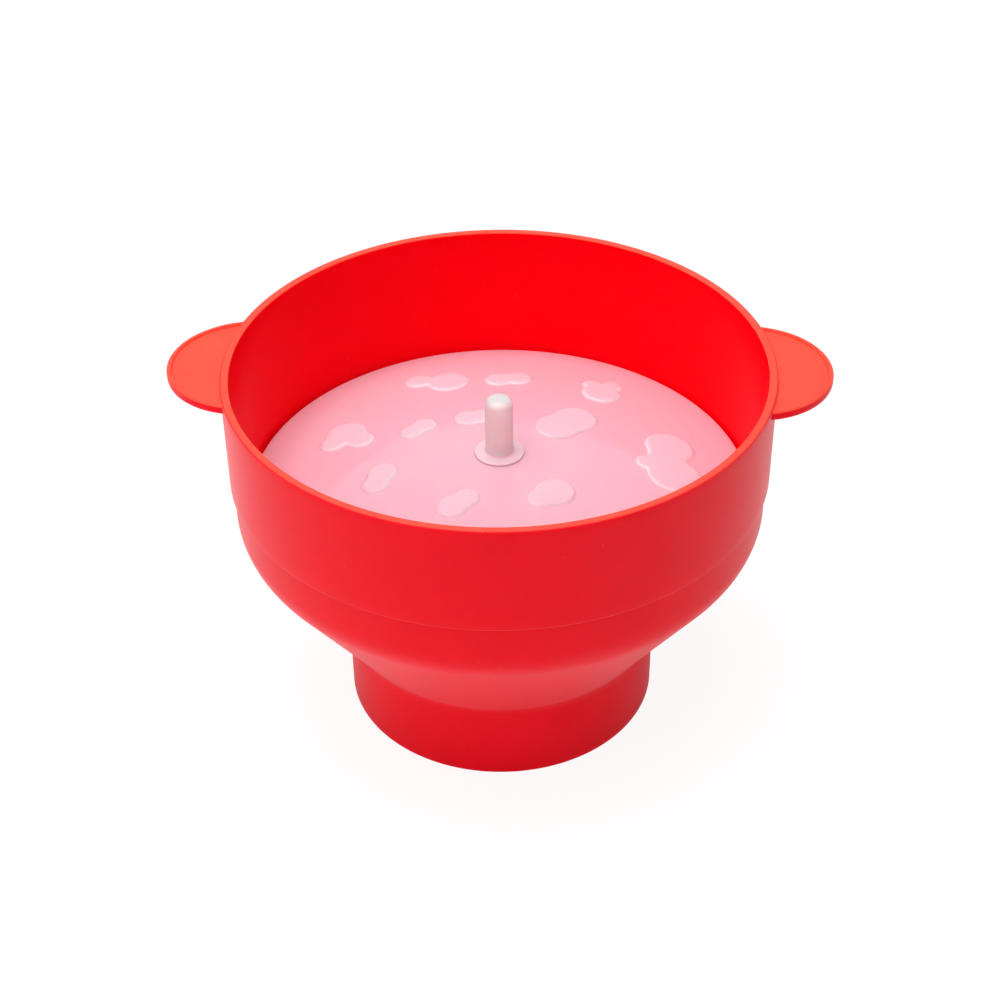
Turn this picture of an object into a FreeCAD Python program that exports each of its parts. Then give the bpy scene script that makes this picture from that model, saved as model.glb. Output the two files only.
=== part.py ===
import FreeCAD, Part
import math
import os

# Collapsible silicone popcorn bowl with a drop-in lid, in millimetres.
# The origin is the centre of the foot's underside, +Z is up and the ear handles lie along X.

# Bowl: outer sizes
rim_radius = 100.0
bowl_height = 146.5
step_height = 105.0
step_depth = 1.2
step_edge = 1.0
shoulder_drop = 12.6
shoulder_bend = 19.0
foot_radius = 59.9
foot_height = 28.9
foot_fillet = 9.5
foot_edge = 0.8

# Bowl: walls
rim_wall = 3.0
rim_edge = 0.4
skin_wall = 2.6
floor_thickness = 3.0
floor_fillet = 3.0

# Bowl: the lid's seat inside the shoulder
wall_draft = 2.5
lid_seat_drop = 13.8
ledge_width = 2.2
ledge_land = 1.2
ledge_depth = 3.8

# Bowl: the cone's fold lines
fold_count = 5
fold_gap = 0.3
fold_margin = 1.5

# Ear handles
ear_reach = 20.1
ear_radius = 29.3
ear_thickness = 3.4
ear_drop = 0.9
ear_edge = 0.8
ear_border_width = 1.6
ear_border_rise = 0.8

# Lid
lid_side_gap = 0.8
lid_thickness = 2.5
lid_rise = 13.5
lid_seat_width = 2.5
pad_height = 1.0
pad_margin = 3.0

# Peg knob
collar_radius = 9.3
collar_height = 0.9
peg_radius = 5.15
peg_height = 23.2
peg_edge = 3.0
spigot_radius = 3.0
spigot_gap = 0.05

# Raised pads on the lid: each is a cluster of round lobes given as x, y, radius
lid_pads = [
    [(-34.0, 57.5, 5.2), (-22.5, 55.5, 8.0)],
    [(-2.0, 56.5, 5.2), (5.5, 58.0, 5.2)],
    [(35.0, 56.5, 3.5), (43.0, 57.0, 3.5), (38.6, 49.0, 7.3)],
    [(28.0, 25.0, 8.4), (21.5, 18.5, 8.2)],
    [(-13.0, 23.5, 4.8), (-8.0, 24.5, 4.5)],
    [(-29.5, 19.5, 4.6), (-34.0, 15.0, 4.0)],
    [(-59.5, 19.5, 7.2), (-64.0, 13.0, 4.6), (-53.5, 13.5, 5.0)],
    [(-43.0, -10.0, 5.2), (-45.0, -17.0, 4.8)],
    [(-11.0, -27.5, 4.5), (-16.0, -32.0, 5.5)],
    [(21.0, -23.0, 7.0), (15.5, -27.0, 4.4)],
    [(64.0, 13.5, 9.0), (62.5, 5.0, 6.8), (55.0, 1.0, 3.8), (65.2, -4.4, 10.0)],
    [(44.0, -48.0, 6.5), (38.0, -53.0, 4.6)],
    [(-2.0, -66.0, 6.0), (6.0, -64.0, 4.6)],
    [(-46.0, -52.0, 5.0), (-40.0, -57.0, 6.2)],
]

# Values that follow from the sizes above
shoulder_radius = rim_radius - step_depth
bend_radius_at_centre = shoulder_radius - shoulder_bend
bend_height = step_height - shoulder_drop
fillet_radius_at_centre = foot_radius + foot_fillet
rim_inner_radius = rim_radius - rim_wall
seat_radius = rim_inner_radius - wall_draft
seat_height = step_height - lid_seat_drop
ledge_foot_height = seat_height - ledge_depth
lid_radius = seat_radius - lid_side_gap
lid_edge_height = seat_height + lid_thickness
lid_crown_height = lid_edge_height + lid_rise
ear_centre = rim_radius + ear_reach - ear_radius
ear_top = bowl_height - ear_drop

# The cone is the line that touches the shoulder's bend on one side and the foot's fillet on the other
centres_across = fillet_radius_at_centre - bend_radius_at_centre
centres_up = bend_height - foot_height
centre_distance = math.hypot(centres_across, centres_up)
centres_lean = math.atan2(centres_across, centres_up)
cone_tilt = math.asin((shoulder_bend + foot_fillet) / centre_distance) - centres_lean
cone_inner_radius = fillet_radius_at_centre - foot_fillet * math.cos(cone_tilt)
fold_outer_radius = seat_radius - ledge_width - fold_margin
fold_width = (fold_outer_radius - cone_inner_radius) / fold_count

Z_AXIS = FreeCAD.Vector(0, 0, 1)
ORIGIN = FreeCAD.Vector(0, 0, 0)


def at(radius, height):
    """A point of a profile, which lies in the XZ plane."""
    return FreeCAD.Vector(radius, 0, height)


def on_circle(centre, radius, angle):
    """The profile point at an angle from the outward direction, in radians, positive upward."""
    return centre + at(radius * math.cos(angle), radius * math.sin(angle))


def arc(centre, radius, first, last):
    """The arc of a profile between two angles."""
    points = [on_circle(centre, radius, angle) for angle in (first, (first + last) / 2, last)]
    return Part.Arc(*points).toShape()


def chain(*items):
    """A closed wire through points and arcs, with straight lines wherever two of them don't meet."""
    edges = []
    start = None
    end = None
    for item in items:
        if isinstance(item, FreeCAD.Vector):
            first = last = item
        else:
            first = item.valueAt(item.FirstParameter)
            last = item.valueAt(item.LastParameter)
        if start is None:
            start = first
        elif not first.isEqual(end, 1e-6):
            edges.append(Part.makeLine(end, first))
        if item is not first:
            edges.append(item)
        end = last
    if not start.isEqual(end, 1e-6):
        edges.append(Part.makeLine(end, start))
    return Part.Wire(edges)


def turned(wire, centre=ORIGIN):
    """The solid that a profile sweeps in a full turn about the upright line through a centre."""
    solid = Part.Face(wire).revolve(ORIGIN, Z_AXIS, 360)
    return solid.translated(centre)


def core(radius, height=2 * bowl_height):
    """An upright cylinder about the bowl's axis, from the table up."""
    return Part.makeCylinder(radius, height)


def dome_arc(inner, inner_height, outer, outer_height):
    """The arc of a shallow dome about the bowl's axis, from an inner to an outer profile point."""
    rise = inner_height - outer_height
    centre_height = (inner_height + outer_height) / 2 - (outer ** 2 - inner ** 2) / (2 * rise)
    radius = math.hypot(outer, outer_height - centre_height)
    first = math.atan2(inner_height - centre_height, inner)
    last = math.atan2(outer_height - centre_height, outer)
    return arc(at(0, centre_height), radius, first, last)


def bowl_solid():
    """The whole bowl without its ears: foot, cone, shoulder, band and the lid's ledge."""
    quarter = math.pi / 2
    bend_centre = at(bend_radius_at_centre, bend_height)
    fillet_centre = at(fillet_radius_at_centre, foot_height)
    inner_bend = shoulder_bend - skin_wall
    inner_fillet = foot_fillet + skin_wall
    foot_inner_radius = foot_radius - skin_wall
    ledge_inner_radius = seat_radius - ledge_width
    ledge_foot_angle = -math.asin((bend_height - ledge_foot_height) / inner_bend)
    step_round = at(rim_radius - step_edge, step_height + step_edge)
    rim_round = at(rim_radius - rim_edge, bowl_height - rim_edge)
    rim_inner_round = at(rim_inner_radius + rim_edge, bowl_height - rim_edge)
    floor_round = at(foot_inner_radius - floor_fillet, floor_thickness + floor_fillet)
    return turned(chain(
        at(0, 0),
        arc(at(foot_radius - foot_edge, foot_edge), foot_edge, -quarter, 0),
        arc(fillet_centre, foot_fillet, math.pi, math.pi - cone_tilt),
        arc(bend_centre, shoulder_bend, -cone_tilt, 0),
        at(shoulder_radius, step_height),
        arc(step_round, step_edge, -quarter, 0),
        arc(rim_round, rim_edge, 0, quarter),
        arc(rim_inner_round, rim_edge, quarter, math.pi),
        at(seat_radius, seat_height),
        at(ledge_inner_radius, seat_height),
        at(ledge_inner_radius, seat_height - ledge_land),
        arc(bend_centre, inner_bend, ledge_foot_angle, -cone_tilt),
        arc(fillet_centre, inner_fillet, math.pi - cone_tilt, math.pi),
        arc(floor_round, floor_fillet, 0, -quarter),
        at(0, floor_thickness),
    ))


def ear_solid(side):
    """One flat ear with a raised border, cut to the band it grows from; side is 1 or -1."""
    quarter = math.pi / 2
    bottom = ear_top - ear_thickness
    plate_top = ear_top - ear_border_rise
    disc = turned(chain(
        at(0, bottom),
        arc(at(ear_radius - ear_edge, bottom + ear_edge), ear_edge, -quarter, 0),
        arc(at(ear_radius - ear_edge, ear_top - ear_edge), ear_edge, 0, quarter),
        at(ear_radius - ear_border_width, ear_top),
        at(ear_radius - ear_border_width, plate_top),
        at(0, plate_top),
    ), FreeCAD.Vector(side * ear_centre, 0, 0))
    return disc.cut(core(rim_radius))


def lid_solid():
    """The domed lid with its knob hole, its flat seat at the edge and its raised pads."""
    bore = spigot_radius + spigot_gap
    disc = turned(chain(
        dome_arc(bore, lid_crown_height - lid_thickness, lid_radius - lid_seat_width, seat_height),
        at(lid_radius, seat_height),
        dome_arc(lid_radius, lid_edge_height, collar_radius, lid_crown_height),
        at(bore, lid_crown_height),
    ))
    pad_foot = dome_arc(collar_radius, lid_crown_height, lid_radius, lid_edge_height)
    pad_top = dome_arc(lid_radius, lid_edge_height, collar_radius, lid_crown_height)
    pad_layer = turned(chain(
        pad_foot.translated(at(0, -lid_thickness / 2)),
        pad_top.translated(at(0, pad_height)),
    )).common(core(lid_radius - pad_margin))
    for lobes in lid_pads:
        posts = [
            Part.makeCylinder(radius, bowl_height, FreeCAD.Vector(x, y, 0))
            for x, y, radius in lobes
        ]
        cluster = posts[0].multiFuse(posts[1:])
        disc = disc.fuse(cluster.common(pad_layer))
    return disc.removeSplitter()


def knob_solid():
    """The peg with its collar on top of the lid and its spigot in the lid's hole."""
    collar_top = lid_crown_height + collar_height
    peg_top = collar_top + peg_height
    return turned(chain(
        at(0, lid_crown_height - lid_thickness),
        at(spigot_radius, lid_crown_height - lid_thickness),
        at(spigot_radius, lid_crown_height),
        at(collar_radius, lid_crown_height),
        at(collar_radius, collar_top),
        at(peg_radius, collar_top),
        arc(at(peg_radius - peg_edge, peg_top - peg_edge), peg_edge, 0, math.pi / 2),
        at(0, peg_top),
    ))


def all_nodes():
    """Every node's name with its solid."""
    bowl = bowl_solid()
    half_gap = fold_gap / 2
    upper = bowl.cut(core(fold_outer_radius + half_gap, ledge_foot_height))
    below_step = core(2 * rim_radius, step_height)
    nodes = {
        "foot_cup": bowl.common(core(cone_inner_radius - half_gap)),
        "shoulder": upper.common(below_step),
        "rim_band": upper.cut(below_step),
        "handle_left": ear_solid(-1),
        "handle_right": ear_solid(1),
        "lid_disc": lid_solid(),
        "lid_knob": knob_solid(),
    }
    for index in range(fold_count):
        inner = cone_inner_radius + index * fold_width + half_gap
        outer = inner + fold_width - fold_gap
        ring = bowl.common(core(outer, ledge_foot_height)).cut(core(inner))
        nodes["fold_ring_%d" % (index + 1)] = ring
    return nodes


os.makedirs("parts", exist_ok=True)
for name, shape in all_nodes().items():
    print(name, len(shape.Solids), shape.isValid(), round(shape.Volume))
    shape.exportStep("parts/%s.step" % name)
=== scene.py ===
import math

import bpy
import numpy as np
from mathutils import Matrix, Vector


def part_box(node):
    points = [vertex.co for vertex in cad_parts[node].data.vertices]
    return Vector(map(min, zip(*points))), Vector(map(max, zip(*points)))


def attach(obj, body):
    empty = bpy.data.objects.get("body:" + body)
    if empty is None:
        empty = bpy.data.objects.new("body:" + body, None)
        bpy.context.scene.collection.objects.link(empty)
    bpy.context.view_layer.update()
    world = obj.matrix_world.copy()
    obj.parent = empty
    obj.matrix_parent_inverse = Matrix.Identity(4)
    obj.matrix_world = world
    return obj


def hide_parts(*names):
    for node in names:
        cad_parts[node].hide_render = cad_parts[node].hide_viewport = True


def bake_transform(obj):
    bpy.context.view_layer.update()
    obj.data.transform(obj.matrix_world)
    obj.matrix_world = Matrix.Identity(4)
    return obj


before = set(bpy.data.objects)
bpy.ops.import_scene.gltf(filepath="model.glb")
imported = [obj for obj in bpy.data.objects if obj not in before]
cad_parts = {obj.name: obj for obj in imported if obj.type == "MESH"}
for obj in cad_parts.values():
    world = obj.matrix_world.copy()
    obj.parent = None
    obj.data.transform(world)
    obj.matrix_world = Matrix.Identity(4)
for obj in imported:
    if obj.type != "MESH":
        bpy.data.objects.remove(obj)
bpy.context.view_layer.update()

# Collapsible silicone popcorn bowl with its drop-in lid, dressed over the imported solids, in metres.
MM = 0.001

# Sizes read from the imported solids
band_low, band_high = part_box("rim_band")
shoulder_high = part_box("shoulder")[1]
lid_low, lid_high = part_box("lid_disc")
knob_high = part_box("lid_knob")[1]
ear_low, ear_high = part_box("handle_right")
rim_radius = band_high.y
bowl_height = band_high.z
step_height = band_low.z
shoulder_radius = shoulder_high.y
lid_radius = lid_high.y
seat_height = lid_low.z
collar_radius = knob_high.x
knob_top = knob_high.z

# Sizes of the bowl's outline that no box shows
RIM_WALL = 3.0 * MM
RIM_EDGE = 0.4 * MM
STEP_EDGE = 1.0 * MM
SHOULDER_DROP = 12.6 * MM
SHOULDER_BEND = 19.0 * MM
FOOT_RADIUS = 59.9 * MM
FOOT_HEIGHT = 28.9 * MM
FOOT_FILLET = 9.5 * MM
FOOT_EDGE = 0.8 * MM
SKIN_WALL = 2.6 * MM
FLOOR_THICKNESS = 3.0 * MM
FLOOR_FILLET = 3.0 * MM
WALL_DRAFT = 2.5 * MM
LEDGE_WIDTH = 2.2 * MM
LEDGE_LAND = 1.2 * MM
LEDGE_DEPTH = 3.8 * MM

# Sizes of the ears, the lid and the peg that no box shows
EAR_RADIUS = 29.3 * MM
EAR_EDGE = 0.8 * MM
EAR_BORDER_WIDTH = 1.6 * MM
EAR_BORDER_RISE = 0.8 * MM
EAR_ROOT = 1.5 * MM
LID_THICKNESS = 2.5 * MM
LID_RISE = 13.5 * MM
LID_EDGE = 0.9 * MM
PAD_HEIGHT = 1.0 * MM
PAD_SLOPE = 0.4 * MM
PAD_BLEND = 0.6 * MM
PAD_SNAP = 1.4 * MM
PAD_REACH = 20 * MM
COLLAR_HEIGHT = 0.9 * MM
COLLAR_EDGE = 0.4 * MM
COLLAR_GAP = 0.02 * MM
PEG_RADIUS = 5.15 * MM
PEG_EDGE = 2.6 * MM
PEG_FILLET = 0.8 * MM

# Raised pads on the lid: each is a cluster of round lobes given as x, y, radius in millimetres
LID_PADS = [
    [(-34.0, 57.5, 5.2), (-22.5, 55.5, 8.0)],
    [(-2.0, 56.5, 5.2), (5.5, 58.0, 5.2)],
    [(35.0, 56.5, 3.5), (43.0, 57.0, 3.5), (38.6, 49.0, 7.3)],
    [(28.0, 25.0, 8.4), (21.5, 18.5, 8.2)],
    [(-13.0, 23.5, 4.8), (-8.0, 24.5, 4.5)],
    [(-29.5, 19.5, 4.6), (-34.0, 15.0, 4.0)],
    [(-59.5, 19.5, 7.2), (-64.0, 13.0, 4.6), (-53.5, 13.5, 5.0)],
    [(-43.0, -10.0, 5.2), (-45.0, -17.0, 4.8)],
    [(-11.0, -27.5, 4.5), (-16.0, -32.0, 5.5)],
    [(21.0, -23.0, 7.0), (15.5, -27.0, 4.4)],
    [(64.0, 13.5, 9.0), (62.5, 5.0, 6.8), (55.0, 1.0, 3.8), (65.2, -4.4, 10.0)],
    [(44.0, -48.0, 6.5), (38.0, -53.0, 4.6)],
    [(-2.0, -66.0, 6.0), (6.0, -64.0, 4.6)],
    [(-46.0, -52.0, 5.0), (-40.0, -57.0, 6.2)],
]

# Mesh resolution
BOWL_SEGMENTS = 256
LID_SEGMENTS = 512
LID_RINGS = 150
KNOB_SEGMENTS = 96
SHARP_ANGLE = math.radians(40)

# Silicone: its refraction, and the scales of its clouding, grain and dust, per metre
SILICONE_IOR = 1.41
MOTTLE_SCALE = 45
CLOUD_SCALE = 60
RED_GRAIN_SCALE = 2200
CLEAR_GRAIN_SCALE = 1500
SPECK_SCALE = 420
RED_DEPTH = 0.8 * MM
LID_DEPTH = 1.2 * MM
PEG_DEPTH = 8 * MM

# Stage: the floor's half side, its colour and glow, the room's strength, and the lamps' side
FLOOR_HALF = 4.0
FLOOR_COLOUR, FLOOR_COLOUR_SEEN = 0.82, 0.14
FLOOR_GLOW, FLOOR_GLOW_SEEN = 0.12, 0.90
ROOM_STRENGTH = 0.38
LAMP_SIDE = 0.8

# Camera of the photograph: it looks at a point below the rim's centre, slightly rolled
CAMERA_AZIMUTH = math.radians(2.2)
CAMERA_ELEVATION = math.radians(32.49)
CAMERA_DISTANCE = 0.680
CAMERA_DIP = math.radians(4.16)
CAMERA_ROLL = math.radians(0.57)
CAMERA_LENS = 67.8
CAMERA_SENSOR = 36.0


def arc(centre, radius, first, last, steps):
    """Points of a profile on an arc, with angles from the outward direction, positive upward."""
    angles = np.linspace(first, last, steps + 1)
    return [(centre[0] + radius * math.cos(a), centre[1] + radius * math.sin(a)) for a in angles]


def run(start, end, steps):
    """Points of a profile inside a straight run, without its two ends."""
    shares = np.linspace(0, 1, steps + 1)[1:-1]
    across = end[0] - start[0]
    up = end[1] - start[1]
    return [(start[0] + across * s, start[1] + up * s) for s in shares]


def joined(*stretches):
    """One profile through stretches, each as (points, steps of the run before it, material slot).
    Returns the points and the material slot of each step between them."""
    profile = []
    slot_indices = []
    for points, steps, slot_index in stretches:
        if profile:
            profile += run(profile[-1], points[0], steps)
        profile += points
        slot_indices += [slot_index] * (len(profile) - 1 - len(slot_indices))
    return profile, slot_indices


def new_mesh(name, vertices, faces):
    """A smooth-shaded object with creases at sharp edges."""
    mesh = bpy.data.meshes.new(name)
    mesh.from_pydata(vertices, [], faces)
    mesh.polygons.foreach_set("use_smooth", [True] * len(mesh.polygons))
    mesh.set_sharp_from_angle(angle=SHARP_ANGLE)
    mesh.update()
    piece = bpy.data.objects.new(name, mesh)
    bpy.context.scene.collection.objects.link(piece)
    return piece


def turned(name, outline, segments, centre=(0.0, 0.0)):
    """The closed surface that an outline from axis to axis sweeps in a full turn."""
    profile, slot_indices = outline
    turn = np.linspace(0, 2 * math.pi, segments, endpoint=False)
    cosines, sines = np.cos(turn), np.sin(turn)
    vertices = [(centre[0], centre[1], profile[0][1])]
    for radius, height in profile[1:-1]:
        vertices += [
            (centre[0] + radius * c, centre[1] + radius * s, height)
            for c, s in zip(cosines, sines)
        ]
    vertices.append((centre[0], centre[1], profile[-1][1]))
    last = len(vertices) - 1
    rings = len(profile) - 2
    faces = []
    for k in range(segments):
        n = (k + 1) % segments
        faces.append((0, 1 + n, 1 + k))
        for ring in range(rings - 1):
            low = 1 + ring * segments
            high = low + segments
            faces.append((low + k, low + n, high + n, high + k))
        top = 1 + (rings - 1) * segments
        faces.append((last, top + k, top + n))
    piece = new_mesh(name, vertices, faces)
    piece.data.polygons.foreach_set("material_index", slot_indices * segments)
    return piece


# Material slots of the bowl's and the knob's faces; the top slot's orange-red and the inside slot's
# lighter red are painted light
OUTSIDE, LIT_TOP, INSIDE = range(3)
PEG, COLLAR = range(2)

# Bowl outline
quarter = math.pi / 2
rim_inner_radius = rim_radius - RIM_WALL
seat_radius = rim_inner_radius - WALL_DRAFT
bend_centre = (shoulder_radius - SHOULDER_BEND, step_height - SHOULDER_DROP)
fillet_centre = (FOOT_RADIUS + FOOT_FILLET, FOOT_HEIGHT)
centres_across = fillet_centre[0] - bend_centre[0]
centres_up = bend_centre[1] - fillet_centre[1]
cone_tilt = math.asin((SHOULDER_BEND + FOOT_FILLET) / math.hypot(centres_across, centres_up))
cone_tilt -= math.atan2(centres_across, centres_up)


def bowl_profile():
    """The bowl's outline, from the underside's centre round the rim to the floor's centre."""
    inner_bend = SHOULDER_BEND - SKIN_WALL
    inner_fillet = FOOT_FILLET + SKIN_WALL
    ledge_foot = seat_height - LEDGE_DEPTH
    ledge_foot_angle = -math.asin((bend_centre[1] - ledge_foot) / inner_bend)
    ledge_inner = seat_radius - LEDGE_WIDTH
    foot_round = (FOOT_RADIUS - FOOT_EDGE, FOOT_EDGE)
    step_round = (rim_radius - STEP_EDGE, step_height + STEP_EDGE)
    rim_round = (rim_radius - RIM_EDGE, bowl_height - RIM_EDGE)
    rim_inner_round = (rim_inner_radius + RIM_EDGE, bowl_height - RIM_EDGE)
    floor_round = (FOOT_RADIUS - SKIN_WALL - FLOOR_FILLET, FLOOR_THICKNESS + FLOOR_FILLET)
    return joined(
        ([(0, 0)], 1, OUTSIDE),
        (arc(foot_round, FOOT_EDGE, -quarter, 0, 6), 4, OUTSIDE),
        (arc(fillet_centre, FOOT_FILLET, math.pi, math.pi - cone_tilt, 10), 8, OUTSIDE),
        (arc(bend_centre, SHOULDER_BEND, -cone_tilt, 0, 20), 24, OUTSIDE),
        ([(shoulder_radius, step_height)], 3, OUTSIDE),
        (arc(step_round, STEP_EDGE, -quarter, 0, 5), 1, OUTSIDE),
        (arc(rim_round, RIM_EDGE, 0, quarter, 5), 10, OUTSIDE),
        (arc(rim_inner_round, RIM_EDGE, quarter, math.pi, 5), 3, LIT_TOP),
        ([(seat_radius, seat_height), (ledge_inner, seat_height)], 14, INSIDE),
        ([(ledge_inner, seat_height - LEDGE_LAND)], 1, INSIDE),
        (arc(bend_centre, inner_bend, ledge_foot_angle, -cone_tilt, 14), 2, INSIDE),
        (arc(fillet_centre, inner_fillet, math.pi - cone_tilt, math.pi, 10), 24, INSIDE),
        (arc(floor_round, FLOOR_FILLET, 0, -quarter, 6), 8, INSIDE),
        ([(0, FLOOR_THICKNESS)], 4, INSIDE),
    )


def fold_with_radius(piece):
    """Reads the wall's vertex positions and leaves them as they are."""
    co = np.empty(3 * len(piece.data.vertices))
    piece.data.vertices.foreach_get("co", co)


def make_bowl():
    """The one-piece red bowl from foot to rim; the mesh does not fold, though the real bowl folds
    between the base and the rim.
    """
    bowl = turned("bowl", bowl_profile(), BOWL_SEGMENTS)
    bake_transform(bowl)
    fold_with_radius(bowl)
    rings = [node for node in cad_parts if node.startswith("fold_ring")]
    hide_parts("foot_cup", "shoulder", "rim_band", *rings)
    return bowl


def make_ear(name, side):
    """One flat ear with a raised round border, rooted inside the band; side is 1 or -1."""
    border_round = arc((EAR_RADIUS - EAR_EDGE, ear_high.z - EAR_EDGE), EAR_EDGE, 0, quarter, 5)
    plate_top = ear_high.z - EAR_BORDER_RISE
    border_inner = EAR_RADIUS - EAR_BORDER_WIDTH
    outline = joined(
        ([(0, ear_low.z)], 1, OUTSIDE),
        (arc((EAR_RADIUS - EAR_EDGE, ear_low.z + EAR_EDGE), EAR_EDGE, -quarter, 0, 5), 8, OUTSIDE),
        (border_round[:2], 2, OUTSIDE),
        (border_round[2:], 1, LIT_TOP),
        ([(border_inner, ear_high.z), (border_inner - EAR_BORDER_RISE / 2, plate_top)], 2, LIT_TOP),
        ([(0, plate_top)], 8, LIT_TOP),
    )
    centre = (side * (ear_high.x - EAR_RADIUS), 0.0)
    ear = turned(name, outline, BOWL_SEGMENTS, centre)
    root = rim_radius - EAR_ROOT
    cutter_outline = joined(
        ([(0, 0)], 1, OUTSIDE),
        ([(root, 0), (root, 2 * bowl_height)], 1, OUTSIDE),
        ([(0, 2 * bowl_height)], 1, OUTSIDE),
    )
    cutter = turned("cutter", cutter_outline, BOWL_SEGMENTS)
    trim = ear.modifiers.new("trim", "BOOLEAN")
    trim.operation = "DIFFERENCE"
    trim.object = cutter
    depsgraph = bpy.context.evaluated_depsgraph_get()
    trimmed = bpy.data.meshes.new_from_object(ear.evaluated_get(depsgraph))
    ear.modifiers.clear()
    ear.data = trimmed
    ear.data.set_sharp_from_angle(angle=SHARP_ANGLE)
    bpy.data.objects.remove(cutter)
    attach(ear, "rim")
    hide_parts(name)
    return ear


# Lid outline
lid_edge_height = seat_height + LID_THICKNESS
lid_crown_height = lid_edge_height + LID_RISE


def dome_height(radius):
    """The height of the lid's top by distance from the axis: flat under the collar, then domed."""
    span = (np.maximum(radius, collar_radius) - collar_radius) / (lid_radius - collar_radius)
    reach = collar_radius / lid_radius
    fall = span * (span + 2 * reach / (1 - reach)) * (1 - reach) / (1 + reach)
    return lid_crown_height - LID_RISE * fall


def pad_depth(x, y):
    """How far inside the nearest pad's outline a place is, in metres, negative outside."""
    nearest = np.full_like(x, -1.0)
    for lobes in LID_PADS:
        total = np.zeros_like(x)
        for lobe_x, lobe_y, radius in lobes:
            inside = radius * MM - np.hypot(x - lobe_x * MM, y - lobe_y * MM)
            total += np.exp(np.maximum(inside, -PAD_REACH) / PAD_BLEND)
        nearest = np.maximum(nearest, PAD_BLEND * np.log(total))
    return nearest


def lid_outline():
    """The lid's plain outline, from the underside's centre round the edge to the crown."""
    under_radii = np.linspace(0, lid_radius, 26)[:-2]
    under = [(r, float(dome_height(r)) - LID_THICKNESS) for r in under_radii]
    edge = arc((lid_radius - LID_EDGE, seat_height + LID_EDGE), LID_EDGE, -quarter, 0, 4)
    edge += arc((lid_radius - LID_EDGE, lid_edge_height - LID_EDGE), LID_EDGE, 0, quarter, 4)
    top_radii = np.linspace(lid_radius - LID_EDGE, 0, LID_RINGS + 1)[1:]
    top = [(r, float(dome_height(r))) for r in top_radii]
    return joined((under + edge + top, 1, OUTSIDE))


def make_lid():
    """The domed lid. Its grid is drawn together along the pads' outlines for crisp edges."""
    lid = turned("lid", lid_outline(), LID_SEGMENTS)
    co = np.empty(3 * len(lid.data.vertices))
    lid.data.vertices.foreach_get("co", co)
    x, y, z = co[0::3], co[1::3], co[2::3]
    top = np.nonzero(z > dome_height(np.hypot(x, y)) - LID_THICKNESS / 4)[0]
    tiny = 0.05 * MM
    depth = pad_depth(x[top], y[top])
    slope_x = (pad_depth(x[top] + tiny, y[top]) - pad_depth(x[top] - tiny, y[top])) / (2 * tiny)
    slope_y = (pad_depth(x[top], y[top] + tiny) - pad_depth(x[top], y[top] - tiny)) / (2 * tiny)
    snapped = np.where(np.abs(depth) < PAD_SNAP, depth * np.abs(depth) / PAD_SNAP, depth)
    x[top] += slope_x * (snapped - depth)
    y[top] += slope_y * (snapped - depth)
    share = np.clip(snapped / (2 * PAD_SLOPE) + 0.5, 0, 1)
    share = share * share * (3 - 2 * share)
    z[top] = np.minimum(z[top], dome_height(np.hypot(x[top], y[top]))) + PAD_HEIGHT * share
    lid.data.vertices.foreach_set("co", co)
    raised = np.zeros(len(x), np.float32)
    raised[top] = share
    lid.data.attributes.new("pad", "FLOAT", "POINT").data.foreach_set("value", raised)
    lid.data.update()
    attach(lid, "lid")
    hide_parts("lid_disc")
    return lid


def make_knob():
    """The peg on its flat round collar."""
    collar_top = lid_crown_height + COLLAR_HEIGHT
    collar_low = lid_crown_height + COLLAR_GAP
    collar_round = (collar_radius - COLLAR_EDGE, collar_top - COLLAR_EDGE)
    peg_fillet = (PEG_RADIUS + PEG_FILLET, collar_top + PEG_FILLET)
    peg_round = (PEG_RADIUS - PEG_EDGE, knob_top - PEG_EDGE)
    outline = joined(
        ([(0, collar_low)], 1, COLLAR),
        ([(collar_radius, collar_low)], 2, COLLAR),
        (arc(collar_round, COLLAR_EDGE, 0, quarter, 5), 2, COLLAR),
        (arc(peg_fillet, PEG_FILLET, -quarter, -math.pi, 5), 3, COLLAR),
        (arc(peg_round, PEG_EDGE, 0, quarter, 8), 10, PEG),
        ([(0, knob_top)], 3, PEG),
    )
    knob = turned("knob", outline, KNOB_SEGMENTS)
    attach(knob, "lid")
    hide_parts("lid_knob")
    return knob


def new_material(name):
    """A new node material with its Principled shader, its nodes and its links."""
    material = bpy.data.materials.new(name)
    material.use_nodes = True
    return material, material.node_tree.nodes, material.node_tree.links


def noise(nodes, links, scale, detail, coordinates):
    """A noise texture in object space."""
    texture = nodes.new("ShaderNodeTexNoise")
    texture.inputs["Scale"].default_value = scale
    texture.inputs["Detail"].default_value = detail
    links.new(coordinates, texture.inputs["Vector"])
    return texture.outputs["Fac"]


def ramp(nodes, links, value, stops):
    """A colour ramp over a value, with stops as (place, colour)."""
    node = nodes.new("ShaderNodeValToRGB")
    node.color_ramp.elements[0].position = stops[0][0]
    node.color_ramp.elements[0].color = (*stops[0][1], 1)
    node.color_ramp.elements[1].position = stops[-1][0]
    node.color_ramp.elements[1].color = (*stops[-1][1], 1)
    for place, colour in stops[1:-1]:
        node.color_ramp.elements.new(place).color = (*colour, 1)
    links.new(value, node.inputs["Fac"])
    return node.outputs["Color"]


def spread(nodes, links, value, low, high):
    """A value from 0 to 1 spread over a range."""
    node = nodes.new("ShaderNodeMapRange")
    node.inputs["To Min"].default_value = low
    node.inputs["To Max"].default_value = high
    links.new(value, node.inputs["Value"])
    return node.outputs["Result"]


def bump(nodes, links, height, strength, distance):
    """A bump from a height value."""
    node = nodes.new("ShaderNodeBump")
    node.inputs["Strength"].default_value = strength
    node.inputs["Distance"].default_value = distance
    links.new(height, node.inputs["Height"])
    return node.outputs["Normal"]


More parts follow.
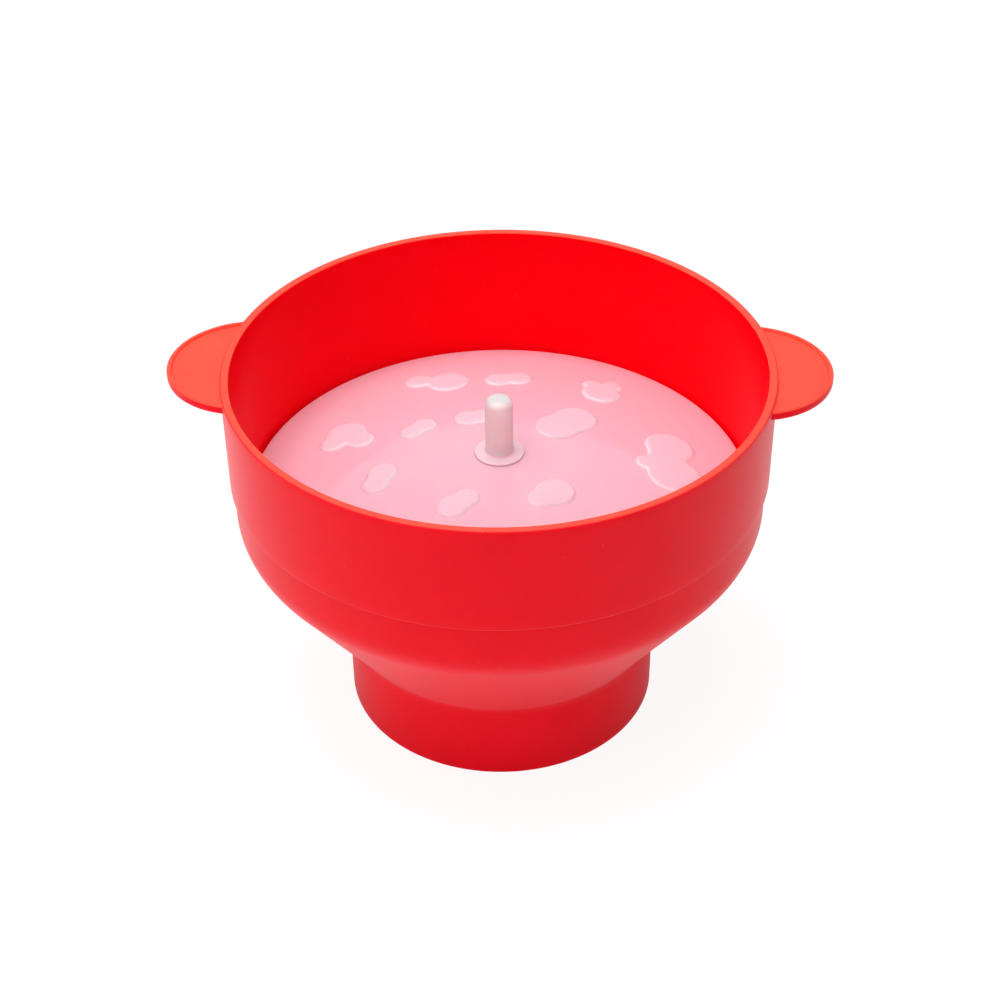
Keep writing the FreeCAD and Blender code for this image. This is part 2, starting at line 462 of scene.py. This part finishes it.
def mixed(nodes, links, share, first, second):
    """Two colours, given as sockets or values, mixed by a share."""
    node = nodes.new("ShaderNodeMix")
    node.data_type = "RGBA"
    links.new(share, node.inputs[0])
    for socket, colour in ((node.inputs[6], first), (node.inputs[7], second)):
        if isinstance(colour, tuple):
            socket.default_value = (*colour, 1)
        else:
            links.new(colour, socket)
    return node.outputs[2]


def red_silicone(name, dark, light, roughness, specular, sheen):
    """Moulded red silicone: satin, slightly mottled, with fine mould grain and specks of dust."""
    material, nodes, links = new_material(name)
    shader = nodes["Principled BSDF"]
    place = nodes.new("ShaderNodeTexCoord").outputs["Object"]
    mottle = noise(nodes, links, MOTTLE_SCALE, 4, place)
    grain = noise(nodes, links, RED_GRAIN_SCALE, 2, place)
    dots = noise(nodes, links, SPECK_SCALE, 1, place)
    speck = ramp(nodes, links, dots, [(0.76, (0, 0, 0)), (0.82, (0.2, 0.2, 0.2))])
    body = ramp(nodes, links, mottle, [(0.3, dark), (0.7, light)])
    dust = tuple(0.75 * c + 0.2 for c in light)
    links.new(mixed(nodes, links, speck, body, dust), shader.inputs["Base Color"])
    rough = spread(nodes, links, mottle, roughness - 0.05, roughness + 0.05)
    links.new(rough, shader.inputs["Roughness"])
    links.new(bump(nodes, links, grain, 0.12, 0.0003), shader.inputs["Normal"])
    shader.inputs["IOR"].default_value = SILICONE_IOR
    shader.inputs["Specular IOR Level"].default_value = specular
    shader.inputs["Subsurface Weight"].default_value = 1.0
    shader.inputs["Subsurface Radius"].default_value = (1.0, 0.1, 0.1)
    shader.inputs["Subsurface Scale"].default_value = RED_DEPTH
    shader.inputs["Sheen Weight"].default_value = sheen
    shader.inputs["Sheen Roughness"].default_value = 0.3
    return material


def clear_silicone(name, clearness, depth, gloss, milk_and_glow, frost_and_glow):
    """Natural translucent silicone: milky inside, glossy outside, and where there are raised pads
    paler and dull on them, with a painted highlight as a light line along their edges."""
    material, nodes, links = new_material(name)
    shader = nodes["Principled BSDF"]
    place = nodes.new("ShaderNodeTexCoord").outputs["Object"]
    pad = nodes.new("ShaderNodeAttribute")
    pad.attribute_name = "pad"
    cloud = noise(nodes, links, CLOUD_SCALE, 4, place)
    grain = noise(nodes, links, CLEAR_GRAIN_SCALE, 2, place)
    # The body colour comes per material; on the lid, the pads and the collar its pink is painted red
    # glow.
    low = tuple(0.98 * c for c in milk_and_glow)
    body = ramp(nodes, links, cloud, [(0.3, low), (0.7, milk_and_glow)])
    padded = mixed(nodes, links, pad.outputs["Fac"], body, frost_and_glow)
    black, white = (0, 0, 0), (1, 1, 1)
    # A painted highlight: the base colour turns paler on the pads' slopes, as a light line along
    # their edges.
    highlight_stops = [(0.05, black), (0.4, white), (0.8, white), (0.98, black)]
    edge = ramp(nodes, links, pad.outputs["Fac"], highlight_stops)
    highlight_colour = tuple((1 + c) / 2 for c in frost_and_glow)
    links.new(mixed(nodes, links, edge, padded, highlight_colour), shader.inputs["Base Color"])
    links.new(spread(nodes, links, cloud, 0.36, 0.44), shader.inputs["Roughness"])
    dull = ramp(nodes, links, pad.outputs["Fac"], [(0.0, black), (0.15, white)])
    links.new(spread(nodes, links, dull, gloss, 0.15 * gloss), shader.inputs["Coat Weight"])
    links.new(bump(nodes, links, grain, 0.06, 0.0002), shader.inputs["Normal"])
    shader.inputs["IOR"].default_value = SILICONE_IOR
    shader.inputs["Specular IOR Level"].default_value = 0.1
    shader.inputs["Transmission Weight"].default_value = clearness
    shader.inputs["Subsurface Weight"].default_value = 1.0
    shader.inputs["Subsurface Radius"].default_value = (1.0, 0.8, 0.85)
    shader.inputs["Subsurface Scale"].default_value = depth
    shader.inputs["Coat Roughness"].default_value = 0.02
    shader.inputs["Coat IOR"].default_value = 1.6
    return material


def dress(piece, slot, *materials):
    """Gives a piece its materials, in the order of its faces' material slots; slot is not used."""
    for material in materials:
        piece.data.materials.append(material)


def any_ray(nodes, links, *kinds):
    """1 for a ray of any of these kinds, otherwise 0."""
    light_path = nodes.new("ShaderNodeLightPath")
    found = light_path.outputs[kinds[0]]
    for kind in kinds[1:]:
        either = nodes.new("ShaderNodeMath")
        either.operation = "MAXIMUM"
        links.new(found, either.inputs[0])
        links.new(light_path.outputs[kind], either.inputs[1])
        found = either.outputs[0]
    return found


def make_stage():
    """A pale floor that lights the object from below. To the camera it glows white and keeps only
    a faint shadow."""
    half = FLOOR_HALF
    corners = [(-half, -half, 0), (half, -half, 0), (half, half, 0), (-half, half, 0)]
    floor = new_mesh("floor", corners, [(0, 1, 2, 3)])
    material, nodes, links = new_material("floor_white")
    shader = nodes["Principled BSDF"]
    seen = any_ray(nodes, links, "Is Camera Ray", "Is Transmission Ray")
    colour = spread(nodes, links, seen, FLOOR_COLOUR, FLOOR_COLOUR_SEEN)
    glow = spread(nodes, links, seen, FLOOR_GLOW, FLOOR_GLOW_SEEN)
    links.new(colour, shader.inputs["Base Color"])
    links.new(glow, shader.inputs["Emission Strength"])
    shader.inputs["Emission Color"].default_value = (1, 1, 1, 1)
    shader.inputs["Roughness"].default_value = 1.0
    shader.inputs["Specular IOR Level"].default_value = 0.0
    floor.data.materials.append(material)


def make_world():
    """A white room: full white to the camera and in reflections, softer as light."""
    world = bpy.data.worlds.new("white_room")
    bpy.context.scene.world = world
    world.use_nodes = True
    nodes, links = world.node_tree.nodes, world.node_tree.links
    room = nodes["Background"]
    room.inputs["Color"].default_value = (1, 1, 1, 1)
    room.inputs["Strength"].default_value = ROOM_STRENGTH
    white = nodes.new("ShaderNodeBackground")
    white.inputs["Color"].default_value = (1, 1, 1, 1)
    white.inputs["Strength"].default_value = 1.0
    choice = nodes.new("ShaderNodeMixShader")
    seen = any_ray(nodes, links, "Is Camera Ray", "Is Glossy Ray", "Is Transmission Ray")
    links.new(seen, choice.inputs["Fac"])
    links.new(room.outputs[0], choice.inputs[1])
    links.new(white.outputs[0], choice.inputs[2])
    links.new(choice.outputs[0], nodes["World Output"].inputs["Surface"])


def softbox(name, position, target, watts):
    """A square area light that faces a point."""
    light = bpy.data.lights.new(name, "AREA")
    light.size = LAMP_SIDE
    light.energy = watts
    lamp = bpy.data.objects.new(name, light)
    lamp.location = position
    lamp.rotation_euler = (Vector(target) - Vector(position)).to_track_quat("-Z", "Y").to_euler()
    bpy.context.scene.collection.objects.link(lamp)


def make_lights():
    """Soft studio light: a large box above, a fill from the front left, a weak one from the right."""
    middle = (0, 0, bowl_height / 2)
    softbox("top_light", (-0.12, 0.0, 1.1), middle, 11.0)
    softbox("left_light", (-0.7, -0.9, 0.7), middle, 3.8)
    softbox("right_light", (1.1, -0.4, 0.5), middle, 0.4)


def make_camera():
    """The photograph's camera."""
    target = Vector((0, 0, bowl_height))
    outward = Vector((
        math.cos(CAMERA_ELEVATION) * math.sin(CAMERA_AZIMUTH),
        -math.cos(CAMERA_ELEVATION) * math.cos(CAMERA_AZIMUTH),
        math.sin(CAMERA_ELEVATION),
    ))
    right = outward.cross(Vector((0, 0, -1))).normalized()
    up = outward.cross(right)
    back = outward * math.cos(CAMERA_DIP) + up * math.sin(CAMERA_DIP)
    up = up * math.cos(CAMERA_DIP) - outward * math.sin(CAMERA_DIP)
    rolled_right = right * math.cos(CAMERA_ROLL) - up * math.sin(CAMERA_ROLL)
    rolled_up = up * math.cos(CAMERA_ROLL) + right * math.sin(CAMERA_ROLL)
    data = bpy.data.cameras.new("photo_camera")
    data.lens = CAMERA_LENS
    data.sensor_width = CAMERA_SENSOR
    camera = bpy.data.objects.new("photo_camera", data)
    axes = Matrix((rolled_right, rolled_up, back)).transposed().to_4x4()
    camera.matrix_world = Matrix.Translation(target + outward * CAMERA_DISTANCE) @ axes
    bpy.context.scene.collection.objects.link(camera)
    bpy.context.scene.camera = camera


outside = red_silicone("red_outside", (0.85, 0.0, 0.010), (0.89, 0.001, 0.013), 0.38, 0.14, 0.18)
# The rim's and the ears' tops get a paler, orange copy of the red: painted light where the top lamp
# falls on them.
top = red_silicone("red_top_painted_light", (0.95, 0.062, 0.032), (0.97, 0.070, 0.036), 0.45, 0.22, 0.05)
# The inside's red is lighter than the outside's: painted light inside the bowl. Its lower specular
# and sheen are the surface's own.
inside = red_silicone("red_inside_painted_light", (0.98, 0.0, 0.004), (1.0, 0.0, 0.006), 0.30, 0.04, 0.0)
dress(make_bowl(), "bowl_silicone", outside, top, inside)
dress(make_ear("handle_left", -1), "bowl_silicone", outside, top)
dress(make_ear("handle_right", 1), "bowl_silicone", outside, top)
# The lid's, pads' and collar's pinks are painted glow, standing in for the bowl's red light seen
# through silicone that is near-white of its own, like the peg.
lid_milk_and_glow, pad_milk_and_glow = (1.0, 0.54, 0.645), (1.0, 0.64, 0.735)
collar_milk_and_glow, peg_milk = (1.0, 0.69, 0.76), (0.95, 1.0, 1.0)
clear = clear_silicone("clear_silicone", 0.32, LID_DEPTH, 0.55, lid_milk_and_glow, pad_milk_and_glow)
collar = clear_silicone("clear_silicone_collar", 0.32, LID_DEPTH, 0.3, collar_milk_and_glow, collar_milk_and_glow)
peg = clear_silicone("clear_silicone_peg", 0.48, PEG_DEPTH, 0.3, peg_milk, peg_milk)
dress(make_lid(), "lid_silicone", clear)
dress(make_knob(), "lid_silicone", peg, collar)
make_stage()
make_world()
make_lights()
make_camera()
bpy.context.scene.view_settings.view_transform = "Standard"
